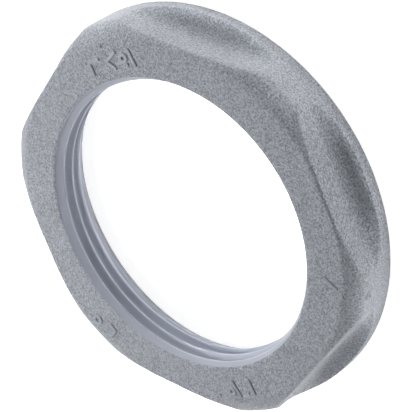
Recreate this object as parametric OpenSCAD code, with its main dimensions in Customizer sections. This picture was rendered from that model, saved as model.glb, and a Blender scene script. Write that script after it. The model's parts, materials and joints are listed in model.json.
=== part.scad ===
// Locknut for a cable gland, moulded in one piece. It lies on its collar,
// with the thread's axis along +Z and a wrench flat facing +X.

/* [Body] */
// Height from the seating face to the front face
nut_h = 7; // [6:0.5:10]
// Distance across the wrench flats
across_flats = 46; // [45:0.5:48]
// Diameter of the collar, and across the rounded corners
collar_d = 50.2; // [49.6:0.2:52]
// Height of the collar's rim at the middle of a flat
collar_rim_h = 1.75; // [1:0.25:2.5]

/* [Edges] */
// Radius of the fillet between a flat and the collar
flat_fillet_r = 2; // [1:0.25:2.5]
// Radius of the front edge of a flat
flat_edge_r = 0.3; // [0.1:0.05:0.6]
// Diameter of the front face inside the chamfer across the corners
chamfer_d = 46.4; // [46:0.1:48]
// Angle between that chamfer and the front face
chamfer_angle = 30; // [20:1:45]
// Radius that blends the chamfer into a corner's rounded side
corner_blend_r = 1; // [0.5:0.25:2]
// Radius of the outer edge of the seating face
seat_edge_r = 0.35; // [0.1:0.05:0.6]

/* [Bore] */
// Diameter over the crests of the internal thread
core_d = 35.5; // [34:0.25:36.5]
// Diameter of the front chamfer at the front face
front_mouth_d = 37; // [36.8:0.1:38.5]
// Diameter of the rear flare at the seating face
rear_mouth_d = 40.5; // [39.5:0.25:42]
// Height of the rear flare, which opens at 45 degrees
rear_flare_h = 1.15; // [0.5:0.05:1.3]
// Angle between the axis and the lead-in cone behind the thread
lead_in_angle = 30; // [25:1:45]

/* [Hidden] */
$fn = 180;

// How far a cutting shape reaches past what it cuts
past = 1;
// How far the corner's blend circle crosses the two lines that it blends
bite = 0.001;
flat_count = 6;
collar_r = collar_d / 2;
flat_x = across_flats / 2;
chamfer_r = chamfer_d / 2;
core_r = core_d / 2;
front_mouth_r = front_mouth_d / 2;
rear_mouth_r = rear_mouth_d / 2;
rear_flare_r = rear_mouth_r - rear_flare_h;
// Height at which the lead-in cone meets the thread's crests
lead_in_top = rear_flare_h + (rear_flare_r - core_r) / tan(lead_in_angle);

// What rounding an edge to radius r takes off a square corner at the origin,
// whose material lies towards -X and -Y
module edge_cut(r) {
    difference() {
        translate([-r, -r]) square(r + past);
        translate([-r, -r]) circle(r);
    }
}

// The chamfer across a corner, and the round that blends it into the side
module corner_cut() {
    slope = tan(chamfer_angle);
    edge = [collar_r, nut_h - slope * (collar_r - chamfer_r)];
    reach = corner_blend_r * tan((90 - chamfer_angle) / 2);
    centre = edge - [corner_blend_r, reach];
    polygon([
        edge + past * [1, -slope],
        [chamfer_r - past, nut_h + past * slope],
        [collar_r + past, nut_h + past * slope]
    ]);
    difference() {
        polygon([
            centre,
            edge - [0, reach],
            edge + [past, 0],
            edge + reach * [-cos(chamfer_angle), sin(chamfer_angle)]
        ]);
        translate(centre) circle(corner_blend_r + bite);
    }
}

// The round blank that the flats are cut into; its seam lies in a corner
module blank() {
    rotate(180 / flat_count) rotate_extrude() difference() {
        square([collar_r, nut_h]);
        corner_cut();
        translate([collar_r, 0]) mirror([0, 1]) edge_cut(seat_edge_r);
    }
}

// One wrench flat, its front edge and the fillet where it meets the collar
module flat_cut() {
    fillet_z = collar_rim_h + flat_fillet_r;
    depth = collar_r - flat_x + past;
    half_w = sqrt(pow(collar_r, 2) - pow(flat_x, 2)) + past;
    translate([0, half_w, 0]) rotate([90, 0, 0]) linear_extrude(2 * half_w) {
        translate([flat_x, fillet_z]) square([depth, nut_h]);
        translate([flat_x + flat_fillet_r, collar_rim_h]) square([depth, nut_h]);
        translate([flat_x + flat_fillet_r, fillet_z]) circle(flat_fillet_r);
        translate([flat_x, nut_h]) edge_cut(flat_edge_r);
    }
}

// The bore over the thread's crests, open at both ends
module bore_cut() {
    rotate_extrude() polygon([
        [0, -past],
        [rear_mouth_r + past, -past],
        [rear_flare_r, rear_flare_h],
        [core_r, lead_in_top],
        [core_r, nut_h - (front_mouth_r - core_r)],
        [front_mouth_r + past, nut_h + past],
        [0, nut_h + past]
    ]);
}

module locknut() {
    color([0.55, 0.59, 0.65]) difference() {
        blank();
        for (i = [0 : flat_count - 1]) rotate(i * 360 / flat_count) flat_cut();
        bore_cut();
    }
}

locknut();
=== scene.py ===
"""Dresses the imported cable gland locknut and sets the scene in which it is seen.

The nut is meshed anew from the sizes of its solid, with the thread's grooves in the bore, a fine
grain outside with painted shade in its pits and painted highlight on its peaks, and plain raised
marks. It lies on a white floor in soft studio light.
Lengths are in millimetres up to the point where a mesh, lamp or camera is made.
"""

import json
import math

import bpy
import numpy as np
from mathutils import Matrix, Vector


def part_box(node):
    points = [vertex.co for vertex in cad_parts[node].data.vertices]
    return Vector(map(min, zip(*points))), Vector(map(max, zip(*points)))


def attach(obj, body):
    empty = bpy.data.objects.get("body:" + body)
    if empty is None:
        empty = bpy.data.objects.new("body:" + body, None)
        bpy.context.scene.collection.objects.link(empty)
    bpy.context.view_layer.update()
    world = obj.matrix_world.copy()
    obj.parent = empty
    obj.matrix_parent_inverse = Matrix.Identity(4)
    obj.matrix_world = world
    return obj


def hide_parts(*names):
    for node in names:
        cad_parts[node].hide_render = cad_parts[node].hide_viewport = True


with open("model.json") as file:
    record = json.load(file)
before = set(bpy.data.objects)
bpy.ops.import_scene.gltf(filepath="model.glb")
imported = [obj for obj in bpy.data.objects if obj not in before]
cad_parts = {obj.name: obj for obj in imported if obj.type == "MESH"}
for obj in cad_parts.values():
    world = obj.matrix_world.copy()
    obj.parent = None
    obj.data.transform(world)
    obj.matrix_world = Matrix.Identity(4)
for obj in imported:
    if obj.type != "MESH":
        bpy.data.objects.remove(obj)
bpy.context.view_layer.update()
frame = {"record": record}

MM = 0.001

# Sizes of the nut, as in its solid
CAD_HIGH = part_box("locknut")[1]
NUT_H = round(CAD_HIGH.z / MM, 2)
COLLAR_R = round(CAD_HIGH.x / MM, 2)
CORE_R = frame["record"]["mounts"][0]["dims"]["r_mm"]
FLATS = 6
FLAT_X = 23.0
COLLAR_RIM_H = 1.75
FILLET_R = 2.0
CHAMFER_R = 23.2
CHAMFER_ANGLE = math.radians(30)
CORNER_BLEND_R = 1.0
SEAT_EDGE_R = 0.35
FRONT_MOUTH_R = 18.5
REAR_MOUTH_R = 20.25
REAR_FLARE_H = 1.15
LEAD_IN_ANGLE = math.radians(30)

# The angle from one flat to the next, the axis of the fillet between a flat and the collar, and
# the angle through which a corner's blend turns
FLAT_TURN = 2 * math.pi / FLATS
FILLET_X = FLAT_X + FILLET_R
FILLET_Z = COLLAR_RIM_H + FILLET_R
BLEND_TURN = math.pi / 2 - CHAMFER_ANGLE

# Thread: right-hand, with a crest that passes the +X side at CREST_Z. FLANK_ANGLE is half the
# angle between two flanks. The mesh's rows on a crest or a root reach THREAD_ROUND to each side.
PITCH = 25.4 / 16
THREAD_DEPTH = 0.75
FLANK_ANGLE = math.radians(40)
CREST_Z = 3.91
THREAD_ROUND = 0.135

# How wide the sharp edges are eased: where a flat meets a corner's side, on the collar's rim
# (but at most a share of the fillet), at the front, and where the bore's surfaces meet
VERTICAL_EDGE = 0.1
RIM_EDGE = 0.08
RIM_EDGE_SHARE = 0.35
FRONT_EDGE = 0.28
THREAD_BLEND = 0.08
LEAD_IN_BLEND = 0.1

# How far a flat's front round is pulled towards the sharp edge (0 is a straight cut), and the
# length from which the chamfer has two edges of its own
ROUND_PULL = 0.3
SHARP_LENGTH = 0.8

# How far the fillet's rows spread up and down in the middle of a corner, where it has run out
TIP_SPREAD = 0.6

# Columns of the mesh round the axis, its rows in each part of the section, and how close to a
# face of the nut the bore's rows come
COLUMNS = 600
SEAT_ROWS = 5
SEAT_EDGE_ROWS = 6
RIM_ROWS = 4
RIM_EDGE_ROWS = 5
FILLET_ROWS = 9
SIDE_ROWS = 5
FRONT_EDGE_ROWS = 5
CHAMFER_ROWS = 6
FACE_ROWS = 8
THREAD_ROWS = 5
BORE_MARGIN = 0.02
TURN = np.arange(COLUMNS) * 2 * math.pi / COLUMNS

# Nylon: its colours, its gloss, a faint mottle, and the grain, whose depth is in millimetres.
# Scales are in features per metre, and a contrast is how far a colour swings to either side.
OUTSIDE_COLOUR = (0.368, 0.393, 0.438)
THREAD_COLOUR = (0.335, 0.357, 0.418)
GRAINED_ROUGHNESS = 0.55
SMOOTH_ROUGHNESS = 0.4
SPECULAR = 0.3
SHEEN = 0.5
SHEEN_ROUGHNESS = 0.5
MOTTLE_SCALE = 150
MOTTLE_DETAIL = 3
MOTTLE_CONTRAST = 0.03
GRAIN_SCALE = 4800
GRAIN_DETAIL = 2
# Painted shade and highlight of the grain: its colour is darker in the bump's pits and lighter on its
# peaks
GRAIN_PAINTED_SHADE = 0.5
GRAIN_DEPTH = 0.28

# Most of a noise texture's values lie between these two
NOISE_RANGE = (0.3, 0.7)

# Sockets of a Mix node that mixes colours
MIX_FACTOR, MIX_A, MIX_B, MIX_RESULT = 0, 6, 7, 2

# A stroke of a raised mark: half its width, its height, how deep it is rooted, how far its side
# leans, the share of its height at which the side bends in, the step between its rows, and the
# angles of the rows that round its ends
STROKE_HALF = 0.17
STROKE_H = 0.19
STROKE_ROOT = 0.1
STROKE_DRAFT = 0.075
STROKE_SHOULDER = 0.75
STROKE_STEP = 0.08
STROKE_END_ANGLES = np.radians((8, 30, 55))

# Marks on the front face: strokes and dots by their X and Y, and rings as X, Y and radius.
# A dot is a very short stroke.
STROKES = [
    [(18.8, -8.9), (19.85, -10.4)],
    [(-2.7, 19.6), (-2.75, 21.1), (-1.2, 21.25)],
    [(1.75, 21.55), (0.05, 20.75), (1.0, 19.7)],
    [(3.9, 21.45), (4.1, 19.45)],
    [(-1.35, -20.25), (-0.85, -22.35)],
    [(1.3, -20.35), (1.45, -22.2)],
    [(-17.5, -11.2), (-17.2, -12.1), (-18.2, -12.7)],
]
DOTS = [(0.5, -22.05), (-4.2, -21.95), (-0.1, 22.6), (2.95, 19.75)]
DOT_LENGTH = 0.05
RINGS = [(-19.4, -10.3, 0.5), (-1.95, -21.6, 0.4), (2.75, 20.65, 0.42)]
RING_POINTS = 16

# The ring on a corner's side: the corner's angle, then the way round from it, height and radius
SIDE_MARK_ANGLE = math.radians(-30)
SIDE_RING = (0, 4.6, 0.35)

# The camera: its place, its target, its roll, its lens and sensor, and its nearest distance
CAMERA_AT = Vector((158.056, 47.838, 156.152))
CAMERA_TARGET = Vector((-0.564, -0.252, 0.654))
CAMERA_ROLL = math.radians(-124.188)
CAMERA_LENS = 167.545
CAMERA_SENSOR = 36
CAMERA_CLIP = 10

# The floor: half its side in metres, the grey that lights the nut, and, as it is seen, the
# white that it gives off and the grey that keeps the shadow
FLOOR_HALF = 1.0
FLOOR_GREY = 0.85
FLOOR_WHITE = 0.9
FLOOR_SHADED = 0.4

# Softboxes: name, distance in metres, azimuth and elevation in degrees, and power in watts.
# The side of each is a share of its distance.
SOFTBOXES = [
    ("key", 0.17, 165, 60, 0.225),
    ("left", 1, 104, 10, 4.9),
    ("right", 1, 288, 10, 2.5),
]
SOFTBOX_SHARE = 0.3

# Spots that light discs of the floor: their height and softness in metres, the radius and watts
# of the one inside the bore, and the count, distance and radius of those round the collar's
# foot. The watts of these swing about a middle value, highest towards an azimuth, up to a cap.
SPOT_HEIGHT = 0.5
SPOT_SOFTNESS = 0.002
BORE_SPOT_R = 16.5
BORE_SPOT_POWER = 26
RING_SPOTS = 24
RING_SPOT_DISTANCE = 35
RING_SPOT_R = 9.8
RING_SPOT_POWER = 10.5
RING_SPOT_SWING = 6
RING_SPOT_AZIMUTH = 5
RING_SPOT_CAP = 12


def soft_min(a, b, width):
    """The smaller of two values, blended over width where they meet."""
    overlap = np.maximum(width - np.abs(a - b), 0) / width
    return np.minimum(a, b) - overlap**2 * width / 4


def soft_max(a, b, width):
    """The larger of two values, blended over width where they meet."""
    return -soft_min(-a, -b, width)


def bezier(points, t):
    """A point on the Bezier curve with these control points; each is an (r, z) pair of arrays."""
    while len(points) > 1:
        points = [
            tuple(p + (q - p) * t for p, q in zip(start, end))
            for start, end in zip(points, points[1:])
        ]
    return points[0]


def between(start, end, count):
    """A number of points inside the line from start to end, neither end included."""
    return [bezier([start, end], (i + 1) / (count + 1)) for i in range(count)]


def level_row(r, z):
    """A row of the mesh with the same radius and height in every column."""
    return np.full(COLUMNS, float(r)), np.full(COLUMNS, float(z))


def chamfer_length(r):
    """How far along the corner's blend and chamfer, from the side, a radius is met."""
    drop = np.clip(COLLAR_R - r, 0, None)
    blend_drop = CORNER_BLEND_R * (1 - math.sin(CHAMFER_ANGLE))
    on_blend = CORNER_BLEND_R * np.arccos(np.clip(1 - drop / CORNER_BLEND_R, 0, 1))
    on_line = CORNER_BLEND_R * BLEND_TURN + (drop - blend_drop) / math.cos(CHAMFER_ANGLE)
    return np.where(drop < blend_drop, on_blend, on_line)


def chamfer_point(length):
    """The (r, z) point that far along the corner's blend and chamfer."""
    edge_z = NUT_H - (COLLAR_R - CHAMFER_R) * math.tan(CHAMFER_ANGLE)
    begin_z = edge_z - CORNER_BLEND_R * math.tan(BLEND_TURN / 2)
    turn = np.clip(length / CORNER_BLEND_R, 0, BLEND_TURN)
    rest = np.clip(length - CORNER_BLEND_R * BLEND_TURN, 0, None)
    r = COLLAR_R - CORNER_BLEND_R * (1 - np.cos(turn)) - rest * math.cos(CHAMFER_ANGLE)
    z = begin_z + CORNER_BLEND_R * np.sin(turn) + rest * math.sin(CHAMFER_ANGLE)
    return r, z


class Fillet:
    """The fillets between the flats and the collar, in every column of the mesh.

    slant is the cosine of each column's angle from the middle of its flat. On a corner, where
    the fillet has run out, its rows lie on the side, about the height of the fillet's tip.
    """

    def __init__(self, slant):
        self.slant = slant
        rim_x = COLLAR_R * slant
        corner_share = (FLAT_X - rim_x) / (FLAT_X - COLLAR_R * math.cos(FLAT_TURN / 2))
        self.on_corner = rim_x < FLAT_X
        self.spread = TIP_SPREAD * np.sqrt(np.clip(corner_share, 0, 1))
        self.rim_angle = np.arccos(np.clip((FILLET_X - rim_x) / FILLET_R, 0, 1))
        drop = FILLET_R * np.sin(self.rim_angle)
        self.rim_z = FILLET_Z - np.where(self.on_corner, self.spread, drop)
        self.length = np.where(self.on_corner, 2 * self.spread, FILLET_R * self.rim_angle)

    def row(self, t):
        """The (r, z) row at a share t of the way from the collar's rim to the flat."""
        angle = self.rim_angle * (1 - t)
        x = FILLET_X - FILLET_R * np.cos(angle)
        r = soft_min(x / self.slant, np.full_like(x, COLLAR_R), VERTICAL_EDGE)
        z = FILLET_Z - FILLET_R * np.sin(angle)
        tip_z = self.rim_z + 2 * self.spread * t
        return np.where(self.on_corner, COLLAR_R, r), np.where(self.on_corner, tip_z, z)


def collar_rows(fillet):
    """Rows from the rear mouth over the seating face, the collar's rim and the fillets."""
    edge_r = COLLAR_R - SEAT_EDGE_R
    rows = between(level_row(REAR_MOUTH_R, 0), level_row(edge_r, 0), SEAT_ROWS)
    for i in range(SEAT_EDGE_ROWS):
        angle = math.pi / 2 * (i / (SEAT_EDGE_ROWS - 1) - 1)
        rows.append(level_row(
            edge_r + SEAT_EDGE_R * math.cos(angle),
            SEAT_EDGE_R + SEAT_EDGE_R * math.sin(angle),
        ))

    ease = np.minimum(RIM_EDGE, RIM_EDGE_SHARE * fillet.length)
    begin = ease / fillet.length
    collar = np.full(COLUMNS, COLLAR_R)
    below = (collar, fillet.rim_z - ease)
    edge = [below, (collar, fillet.rim_z), fillet.row(begin)]
    rows += between(level_row(COLLAR_R, SEAT_EDGE_R), below, RIM_ROWS)
    rows += [bezier(edge, i / (RIM_EDGE_ROWS - 1)) for i in range(RIM_EDGE_ROWS)]
    rows += [fillet.row(begin + (1 - begin) * i / FILLET_ROWS) for i in range(1, FILLET_ROWS + 1)]
    return rows


def front_rows(side_r, below):
    """Rows from the fillets over the side, the chamfer and the front face.

    side_r is the radius of the side in each column, and below is the row that they follow.
    """
    full = chamfer_length(np.array(CHAMFER_R))
    begin = chamfer_length(side_r)
    length = np.maximum(full - begin, 0)
    front_z = np.full(COLUMNS, NUT_H)
    low = (side_r, np.where(side_r < CHAMFER_R, NUT_H, chamfer_point(begin)[1]))
    high = (np.minimum(side_r, CHAMFER_R), front_z)
    start = (side_r, low[1] - FRONT_EDGE)
    end = (high[0] - FRONT_EDGE, front_z)

    # Where the chamfer is long, it has an edge at either end
    near = np.minimum(FRONT_EDGE, length / 2)
    enter, leave = chamfer_point(begin + near), chamfer_point(full - near)
    flat_length = length - 2 * near
    sharp = [bezier([start, low, enter], i / FRONT_EDGE_ROWS) for i in range(FRONT_EDGE_ROWS)]
    sharp += [
        chamfer_point(begin + near + flat_length * i / CHAMFER_ROWS)
        for i in range(CHAMFER_ROWS)
    ]
    sharp += [bezier([leave, high, end], i / FRONT_EDGE_ROWS) for i in range(FRONT_EDGE_ROWS + 1)]

    # Where it is short or gone, one round leads from the side to the front face
    share = np.clip(length / SHARP_LENGTH, 0, 1)
    share = share**2 * (3 - 2 * share)
    pull = ROUND_PULL + (1 - ROUND_PULL) * share
    soft = [start, bezier([start, low], pull), bezier([end, high], pull), end]
    rows = between(below, start, SIDE_ROWS)
    for i, row in enumerate(sharp):
        rows.append(bezier([bezier(soft, i / (len(sharp) - 1)), row], share))
    return rows + between(end, level_row(FRONT_MOUTH_R, NUT_H), FACE_ROWS)


def outer_rows():
    """The section from the rear mouth round the outside to the front mouth, an (r, z) pair per row.

    Each pair holds one value per column of the mesh.
    """
    slant = np.cos((TURN + FLAT_TURN / 2) % FLAT_TURN - FLAT_TURN / 2)
    side_r = soft_min(FLAT_X / slant, np.full(COLUMNS, COLLAR_R), VERTICAL_EDGE)
    fillet = Fillet(slant)
    return [
        level_row(REAR_MOUTH_R, 0),
        *collar_rows(fillet),
        *front_rows(side_r, fillet.row(1)),
        level_row(FRONT_MOUTH_R, NUT_H),
    ]


def thread_radius(offset):
    """Radius of the thread's surface at a distance along the axis from a crest's middle."""
    s = np.abs((offset + PITCH / 2) % PITCH - PITCH / 2)
    slope = 1 / math.tan(FLANK_ANGLE)
    # The round that takes a sharp thread's crests and roots down to the depth
    spare = (PITCH / 2 * slope - THREAD_DEPTH) / 2
    round_r = spare / (1 / math.sin(FLANK_ANGLE) - 1)
    half = round_r * math.cos(FLANK_ANGLE)
    crest = round_r - np.sqrt(np.maximum(round_r**2 - s**2, 0))
    root = THREAD_DEPTH - round_r + np.sqrt(np.maximum(round_r**2 - (PITCH / 2 - s) ** 2, 0))
    flank = s * slope - spare
    return CORE_R + np.where(s < half, crest, np.where(s > PITCH / 2 - half, root, flank))


def bore_radius(z):
    """Radius of the bore at a height in each column: the widest of its surfaces there."""
    thread = thread_radius(z - CREST_Z - PITCH * TURN / (2 * math.pi))
    chamfer = FRONT_MOUTH_R - (NUT_H - z)
    lead_in = REAR_MOUTH_R - REAR_FLARE_H - (z - REAR_FLARE_H) * math.tan(LEAD_IN_ANGLE)
    flare = REAR_MOUTH_R - z
    front = soft_max(thread, chamfer, THREAD_BLEND)
    rear = soft_max(lead_in, flare, LEAD_IN_BLEND)
    return soft_max(front, rear, THREAD_BLEND)


def thread_offsets():
    """Heights of one pitch's rows over a crest: on the crest, a flank, the root and a flank."""
    half, middle = THREAD_ROUND, PITCH / 2
    crest = np.linspace(-half, half, THREAD_ROWS)
    rising = np.linspace(half, middle - half, THREAD_ROWS)[1:-1]
    root = np.linspace(middle - half, middle + half, THREAD_ROWS)
    falling = np.linspace(middle + half, PITCH - half, THREAD_ROWS)[1:-1]
    return np.concatenate([crest, rising, root, falling])


def row_points(r, z):
    """The points of a row of the mesh, one per column."""
    return np.stack([r * np.cos(TURN), r * np.sin(TURN), z], 1)


def grid_faces(index):
    """Faces between rows of point numbers; where two rows share points, less than a quad is left."""
    faces = []
    for low, high in zip(index, index[1:]):
        for j in range(COLUMNS):
            ring = [low[j], low[j + 1], high[j + 1], high[j]]
            face = [v for i, v in enumerate(ring) if v != ring[i - 1]]
            if len(set(face)) > 2:
                faces.append(tuple(face))
    return faces


def nut_mesh():
    """The nut as one closed mesh: its points, its faces, and how many of these lie outside.

    The bore's rows follow the thread, so that crests and roots stay crisp.
    """
    rows = outer_rows()
    points = [row_points(r, z) for r, z in rows]
    index = np.arange(len(rows) * COLUMNS).reshape(-1, COLUMNS)
    index = np.hstack([index, index[:, :1]])
    rear, front = index[0], index[-1]

    # Rows of the bore from the front down, by their heights at the +X side. Each climbs one
    # pitch in a turn, where it meets the row that starts a pitch higher.
    offsets = thread_offsets()
    first = math.floor((-CREST_Z - PITCH) / PITCH)
    last = math.ceil((NUT_H - CREST_Z) / PITCH)
    heights = [CREST_Z + n * PITCH + o for n in range(first, last + 1) for o in offsets]
    heights.reverse()
    bore = np.empty((len(heights), COLUMNS + 1), int)
    count = index.max() + 1
    for row, height in zip(bore, heights):
        z = height + PITCH * TURN / (2 * math.pi)
        inside = (z > BORE_MARGIN) & (z < NUT_H - BORE_MARGIN)
        row[:-1] = np.where(z >= NUT_H - BORE_MARGIN, front[:-1], rear[:-1])
        row[:-1][inside] = count + np.arange(inside.sum())
        count += inside.sum()
        points.append(row_points(bore_radius(z), z)[inside])
    steps = len(offsets)
    bore[steps:, -1] = bore[:-steps, 0]
    bore[:steps, -1] = front[0]

    faces = grid_faces(index.tolist())
    outside = len(faces)
    return np.concatenate(points), faces + grid_faces(bore.tolist()), outside


def make_piece(name, points, faces):
    """An object with a mesh of these points, in millimetres, and faces."""
    mesh = bpy.data.meshes.new(name)
    mesh.from_pydata((np.array(points, float) * MM).tolist(), [], faces)
    mesh.validate()
    mesh.update()
    piece = bpy.data.objects.new(name, mesh)
    bpy.context.scene.collection.objects.link(piece)
    return piece


def noise(tree, scale, detail):
    """Noise in the nut's own space."""
    place = tree.nodes.new("ShaderNodeTexCoord")
    texture = tree.nodes.new("ShaderNodeTexNoise")
    texture.inputs["Scale"].default_value = scale
    texture.inputs["Detail"].default_value = detail
    tree.links.new(place.outputs["Object"], texture.inputs["Vector"])
    return texture.outputs["Fac"]


def shades(tree, factor, contrast):
    """Greys about 1 that go with a noise, to multiply a colour by."""
    ramp = tree.nodes.new("ShaderNodeValToRGB")
    greys = (1 - contrast, 1 + contrast)
    for element, position, grey in zip(ramp.color_ramp.elements, NOISE_RANGE, greys):
        element.position = position
        element.color = (grey, grey, grey, 1)
    tree.links.new(factor, ramp.inputs["Fac"])
    return ramp.outputs["Color"]


def multiply(tree, a, b):
    """The product of two colours, each of them a socket or a tuple."""
    mix = tree.nodes.new("ShaderNodeMix")
    mix.data_type = "RGBA"
    mix.blend_type = "MULTIPLY"
    mix.inputs[MIX_FACTOR].default_value = 1
    for value, socket in ((a, mix.inputs[MIX_A]), (b, mix.inputs[MIX_B])):
        if isinstance(value, tuple):
            socket.default_value = (*value, 1)
        else:
            tree.links.new(value, socket)
    return mix.outputs[MIX_RESULT]


def make_nylon(name, colour, roughness, grained):
    """Grey moulded nylon, with a spark-eroded grain if it is grained: a bump whose pits are painted
    darker and whose peaks are painted lighter, as painted shade and highlight.
    """
    material = bpy.data.materials.new(name)
    material.use_nodes = True
    tree = material.node_tree
    shader = tree.nodes["Principled BSDF"]
    shader.inputs["Roughness"].default_value = roughness
    shader.inputs["Specular IOR Level"].default_value = SPECULAR
    shader.inputs["Sheen Weight"].default_value = SHEEN
    shader.inputs["Sheen Roughness"].default_value = SHEEN_ROUGHNESS
    mottle = noise(tree, MOTTLE_SCALE, MOTTLE_DETAIL)
    colour = multiply(tree, colour, shades(tree, mottle, MOTTLE_CONTRAST))
    if grained:
        height = noise(tree, GRAIN_SCALE, GRAIN_DETAIL)
        # Painted shade and highlight: the colour darkens in the grain's pits and lightens on its peaks
        colour = multiply(tree, colour, shades(tree, height, GRAIN_PAINTED_SHADE))
        bump = tree.nodes.new("ShaderNodeBump")
        bump.inputs["Strength"].default_value = 1
        bump.inputs["Distance"].default_value = GRAIN_DEPTH * MM
        tree.links.new(height, bump.inputs["Height"])
        tree.links.new(bump.outputs["Normal"], shader.inputs["Normal"])
    tree.links.new(colour, shader.inputs["Base Color"])
    return material


def make_nut(grained_nylon, smooth_nylon):
    """The nut's body, grained outside and smooth in the bore."""
    points, faces, outside = nut_mesh()
    nut = make_piece("moulded_nut", points, faces)
    nut.data.materials.append(grained_nylon)
    nut.data.materials.append(smooth_nylon)
    for polygon in nut.data.polygons:
        polygon.use_smooth = True
        polygon.material_index = 0 if polygon.index < outside else 1
    nut.modifiers.new("Face weighted normals", "WEIGHTED_NORMAL")
    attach(nut, "root")
    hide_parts("locknut")


def stroke_section():
    """A stroke's section from root to root over its top, as (side, height) pairs."""
    foot = STROKE_HALF + STROKE_DRAFT
    half = [
        (foot, -STROKE_ROOT),
        (foot, 0),
        (STROKE_HALF + STROKE_DRAFT / 4, STROKE_H * STROKE_SHOULDER),
        (STROKE_HALF - STROKE_DRAFT, STROKE_H),
    ]
    return half + [(-side, height) for side, height in reversed(half)]


def stroke_line(path, closed):
    """Close points along a path, with the direction of the path and the stroke's width at each."""
    path = np.array(path, float)
    points = []
    for start, end in zip(path, np.roll(path, -1, 0) if closed else path[1:]):
        count = max(1, round(np.linalg.norm(end - start) / STROKE_STEP))
        points += [start + (end - start) * i / count for i in range(count)]
    if closed:
        points = np.array(points)
        along = np.roll(points, -1, 0) - np.roll(points, 1, 0)
    else:
        points = np.array([*points, path[-1]])
        along = np.gradient(points, axis=0)
    along /= np.linalg.norm(along, axis=1)[:, None]
    width = np.ones(len(points))
    if not closed:
        # Round ends: rows that run on past the path's ends and get narrower
        narrow, reach = np.sin(STROKE_END_ANGLES), STROKE_HALF * np.cos(STROKE_END_ANGLES)
        head = points[0] - along[0] * reach[:, None]
        tail = points[-1] + along[-1] * reach[::-1, None]
        points = np.concatenate([head, points, tail])
        along = np.concatenate([[along[0]] * len(reach), along, [along[-1]] * len(reach)])
        width = np.concatenate([narrow, width, narrow[::-1]])
    return points, along, width


def stroke_mesh(path, place, closed=False):
    """A raised stroke along a path of (u, v) points; place(u, v, height) gives a point of the nut."""
    points, along, width = stroke_line(path, closed)
    aside = np.stack([along[:, 1], -along[:, 0]], 1)
    section = stroke_section()
    placed = []
    for point, across, share in zip(points, aside, width):
        placed += [place(*(point + across * side * share), height) for side, height in section]
    n, m = len(points), len(section)
    faces = []
    for i in range(n if closed else n - 1):
        low, high = i * m, (i + 1) % n * m
        faces += [(low + j, low + (j + 1) % m, high + (j + 1) % m, high + j) for j in range(m)]
    if not closed:
        faces += [tuple(reversed(range(m))), tuple(range((n - 1) * m, n * m))]
    return placed, faces


def on_face(u, v, height):
    """A point of a mark on the front face, where u and v are the nut's X and Y."""
    return u, v, NUT_H + height


def on_side(u, v, height):
    """A point of a mark on a corner's rounded side, where u runs round it and v up."""
    turn, r = SIDE_MARK_ANGLE + u / COLLAR_R, COLLAR_R + height
    return r * math.cos(turn), r * math.sin(turn), v


def circle(u, v, radius):
    """Points of a circle, as a closed path."""
    angles = np.linspace(0, 2 * math.pi, RING_POINTS, endpoint=False)
    return [(u + radius * math.cos(a), v + radius * math.sin(a)) for a in angles]


def make_marks(material):
    """Plain raised marks: strokes, dots and rings on the front face, and a ring on a corner's side."""
    parts = [stroke_mesh(path, on_face) for path in STROKES]
    parts += [stroke_mesh([(u, v), (u + DOT_LENGTH, v)], on_face) for u, v in DOTS]
    parts += [stroke_mesh(circle(*ring), on_face, closed=True) for ring in RINGS]
    parts.append(stroke_mesh(circle(*SIDE_RING), on_side, closed=True))
    points, faces = [], []
    for part_points, part_faces in parts:
        faces += [tuple(v + len(points) for v in face) for face in part_faces]
        points += part_points
    marks = make_piece("raised_marks", points, faces)
    marks.data.materials.append(material)
    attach(marks, "root")


def make_camera():
    """The camera, at the photo's angle and framing."""
    at, target = CAMERA_AT * MM, CAMERA_TARGET * MM
    ahead = (target - at).normalized()
    level_right = ahead.cross(Vector((0, 0, 1))).normalized()
    level_up = level_right.cross(ahead)
    up = math.cos(CAMERA_ROLL) * level_up - math.sin(CAMERA_ROLL) * level_right
    right = math.sin(CAMERA_ROLL) * level_up + math.cos(CAMERA_ROLL) * level_right
    data = bpy.data.cameras.new("camera")
    data.lens = CAMERA_LENS
    data.sensor_width = CAMERA_SENSOR
    data.clip_start = CAMERA_CLIP * MM
    camera = bpy.data.objects.new("camera", data)
    turn = Matrix((right, up, -ahead)).transposed().to_4x4()
    camera.matrix_world = Matrix.Translation(at) @ turn
    bpy.context.scene.collection.objects.link(camera)
    bpy.context.scene.camera = camera


def background_rays(tree):
    """A socket that is 1 for the rays that show the background: camera, glossy and transmission."""
    path = tree.nodes.new("ShaderNodeLightPath")
    total = path.outputs["Is Camera Ray"]
    for name in ("Is Glossy Ray", "Is Transmission Ray"):
        either = tree.nodes.new("ShaderNodeMath")
        either.operation = "MAXIMUM"
        tree.links.new(total, either.inputs[0])
        tree.links.new(path.outputs[name], either.inputs[1])
        total = either.outputs[0]
    return total


def make_world():
    """A world that is white where it is seen, and gives no light."""
    world = bpy.data.worlds.new("studio")
    bpy.context.scene.world = world
    world.use_nodes = True
    tree = world.node_tree
    background = tree.nodes["Background"]
    background.inputs["Color"].default_value = (1, 1, 1, 1)
    tree.links.new(background_rays(tree), background.inputs["Strength"])
    bpy.context.scene.view_settings.view_transform = "Standard"


def make_diffuse(tree, grey):
    """A plain grey diffuse shader's output."""
    diffuse = tree.nodes.new("ShaderNodeBsdfDiffuse")
    diffuse.inputs["Color"].default_value = (grey, grey, grey, 1)
    return diffuse.outputs[0]


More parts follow.
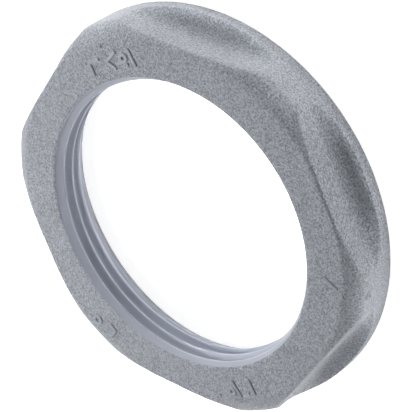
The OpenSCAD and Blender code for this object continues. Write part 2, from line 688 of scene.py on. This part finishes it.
def make_floor():
    """A floor that is seen white, with the nut's shadow, and lights the nut as a pale grey."""
    half = FLOOR_HALF / MM
    corners = [(-half, -half, 0), (half, -half, 0), (half, half, 0), (-half, half, 0)]
    floor = make_piece("floor", corners, [(0, 1, 2, 3)])
    material = bpy.data.materials.new("floor")
    material.use_nodes = True
    tree = material.node_tree
    tree.nodes.remove(tree.nodes["Principled BSDF"])
    pale = make_diffuse(tree, FLOOR_GREY)
    shaded = make_diffuse(tree, FLOOR_SHADED)
    white = tree.nodes.new("ShaderNodeEmission")
    white.inputs["Strength"].default_value = FLOOR_WHITE
    shown = tree.nodes.new("ShaderNodeAddShader")
    tree.links.new(shaded, shown.inputs[0])
    tree.links.new(white.outputs[0], shown.inputs[1])
    mix = tree.nodes.new("ShaderNodeMixShader")
    tree.links.new(background_rays(tree), mix.inputs[0])
    tree.links.new(pale, mix.inputs[1])
    tree.links.new(shown.outputs[0], mix.inputs[2])
    tree.links.new(mix.outputs[0], tree.nodes["Material Output"].inputs["Surface"])
    floor.data.materials.append(material)


def make_softbox(name, distance, azimuth, elevation, power):
    """A square lamp turned to the nut, in metres, degrees and watts."""
    azimuth, elevation = math.radians(azimuth), math.radians(elevation)
    at = distance * Vector((
        math.cos(elevation) * math.cos(azimuth),
        math.cos(elevation) * math.sin(azimuth),
        math.sin(elevation),
    ))
    data = bpy.data.lights.new(name, "AREA")
    data.shape = "SQUARE"
    data.size = SOFTBOX_SHARE * distance
    data.energy = power
    lamp = bpy.data.objects.new(name, data)
    lamp.location = at
    lamp.rotation_euler = (-at).to_track_quat("-Z", "Y").to_euler()
    bpy.context.scene.collection.objects.link(lamp)


def make_floor_spot(name, azimuth, distance, radius, power):
    """A spot high above a disc of the floor, which then lights the nut from below."""
    azimuth = math.radians(azimuth)
    data = bpy.data.lights.new(name, "SPOT")
    data.spot_size = 2 * math.atan(radius * MM / SPOT_HEIGHT)
    data.spot_blend = 0
    data.shadow_soft_size = SPOT_SOFTNESS
    data.energy = power
    lamp = bpy.data.objects.new(name, data)
    lamp.location = (
        distance * MM * math.cos(azimuth),
        distance * MM * math.sin(azimuth),
        SPOT_HEIGHT,
    )
    bpy.context.scene.collection.objects.link(lamp)


def make_lights():
    """The softboxes, the spot on the floor inside the bore, and the ring of them outside."""
    for softbox in SOFTBOXES:
        make_softbox(*softbox)
    make_floor_spot("hole_spot", 0, 0, BORE_SPOT_R, BORE_SPOT_POWER)
    for i in range(RING_SPOTS):
        azimuth = i * 360 / RING_SPOTS
        swing = RING_SPOT_SWING * math.cos(math.radians(azimuth - RING_SPOT_AZIMUTH))
        power = min(RING_SPOT_CAP, RING_SPOT_POWER + swing)
        make_floor_spot(f"floor_spot_{i}", azimuth, RING_SPOT_DISTANCE, RING_SPOT_R, power)


make_camera()
make_world()
make_floor()
make_lights()
grained = make_nylon("grained_nylon", OUTSIDE_COLOUR, GRAINED_ROUGHNESS, grained=True)
smooth = make_nylon("smooth_nylon", THREAD_COLOUR, SMOOTH_ROUGHNESS, grained=False)
make_nut(grained, smooth)
make_marks(smooth)
